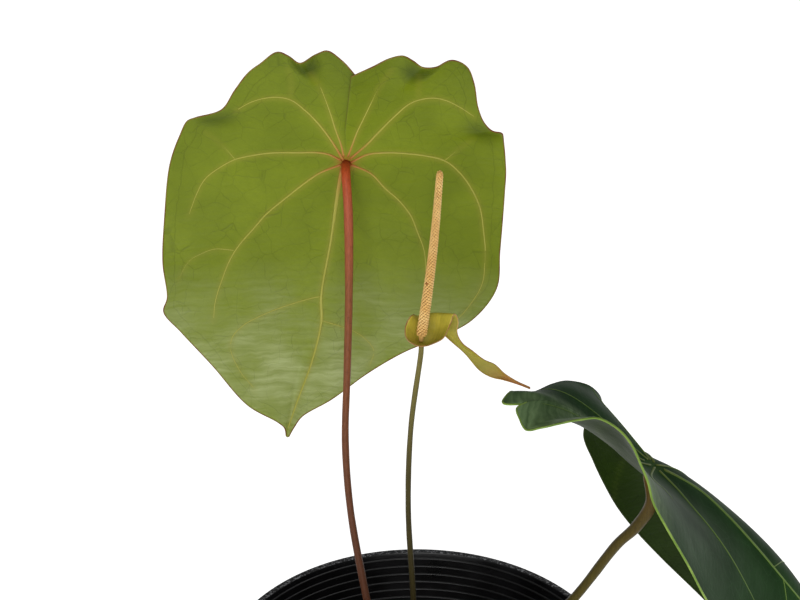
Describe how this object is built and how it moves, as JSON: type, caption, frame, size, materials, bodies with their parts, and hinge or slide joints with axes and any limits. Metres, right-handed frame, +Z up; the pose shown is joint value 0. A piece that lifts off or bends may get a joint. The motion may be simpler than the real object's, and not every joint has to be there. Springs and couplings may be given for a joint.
{
  "type": "potted flowering foliage plant",
  "caption": "Foliage plant in a ribbed plastic nursery pot, with heart-shaped leaves on long stalks and a thin flower spike in a small bract.",
  "frame": {"origin": "centre of the pot's underside, on the surface it stands on", "axes": "+Z up along the pot's axis, the tall leaf's blade faces +Y with its underside to -Y, and the folded leaf hangs towards +X"},
  "size_m": [0.2961, 0.1941, 0.4179],
  "materials": {
    "pot_plastic": "black moulded polypropylene, fine grain",
    "bark_mix": "coarse bark and peat",
    "stem_bark": "ringed, corky",
    "root_skin": "matt fleshy root",
    "dry_sheath": "dry papery fibre",
    "leaf_green": "satin leaf underside with raised veins",
    "dark_leaf_green": "glossy dark upper leaf surface",
    "red_stalk": "satin red-brown stalk",
    "olive_stalk": "satin olive stalk",
    "bract": "thin satin bract",
    "spike": "matt, set with tiny flowers"
  },
  "bodies": {
    "root": {"nursery_pot": "pot_plastic", "potting_mix": "bark_mix", "stem": "stem_bark", "root_1": "root_skin", "root_2": "root_skin", "root_3": "root_skin", "root_4": "root_skin", "root_5": "root_skin", "cataphyll_1": "dry_sheath", "cataphyll_2": "dry_sheath", "cataphyll_3": "dry_sheath", "leaf_1_petiole": "red_stalk", "leaf_1_blade": "leaf_green", "leaf_2_petiole": "olive_stalk", "leaf_2_blade": "dark_leaf_green", "peduncle": "olive_stalk", "spathe": "bract", "spadix": "spike"}
  },
  "joints": []
}
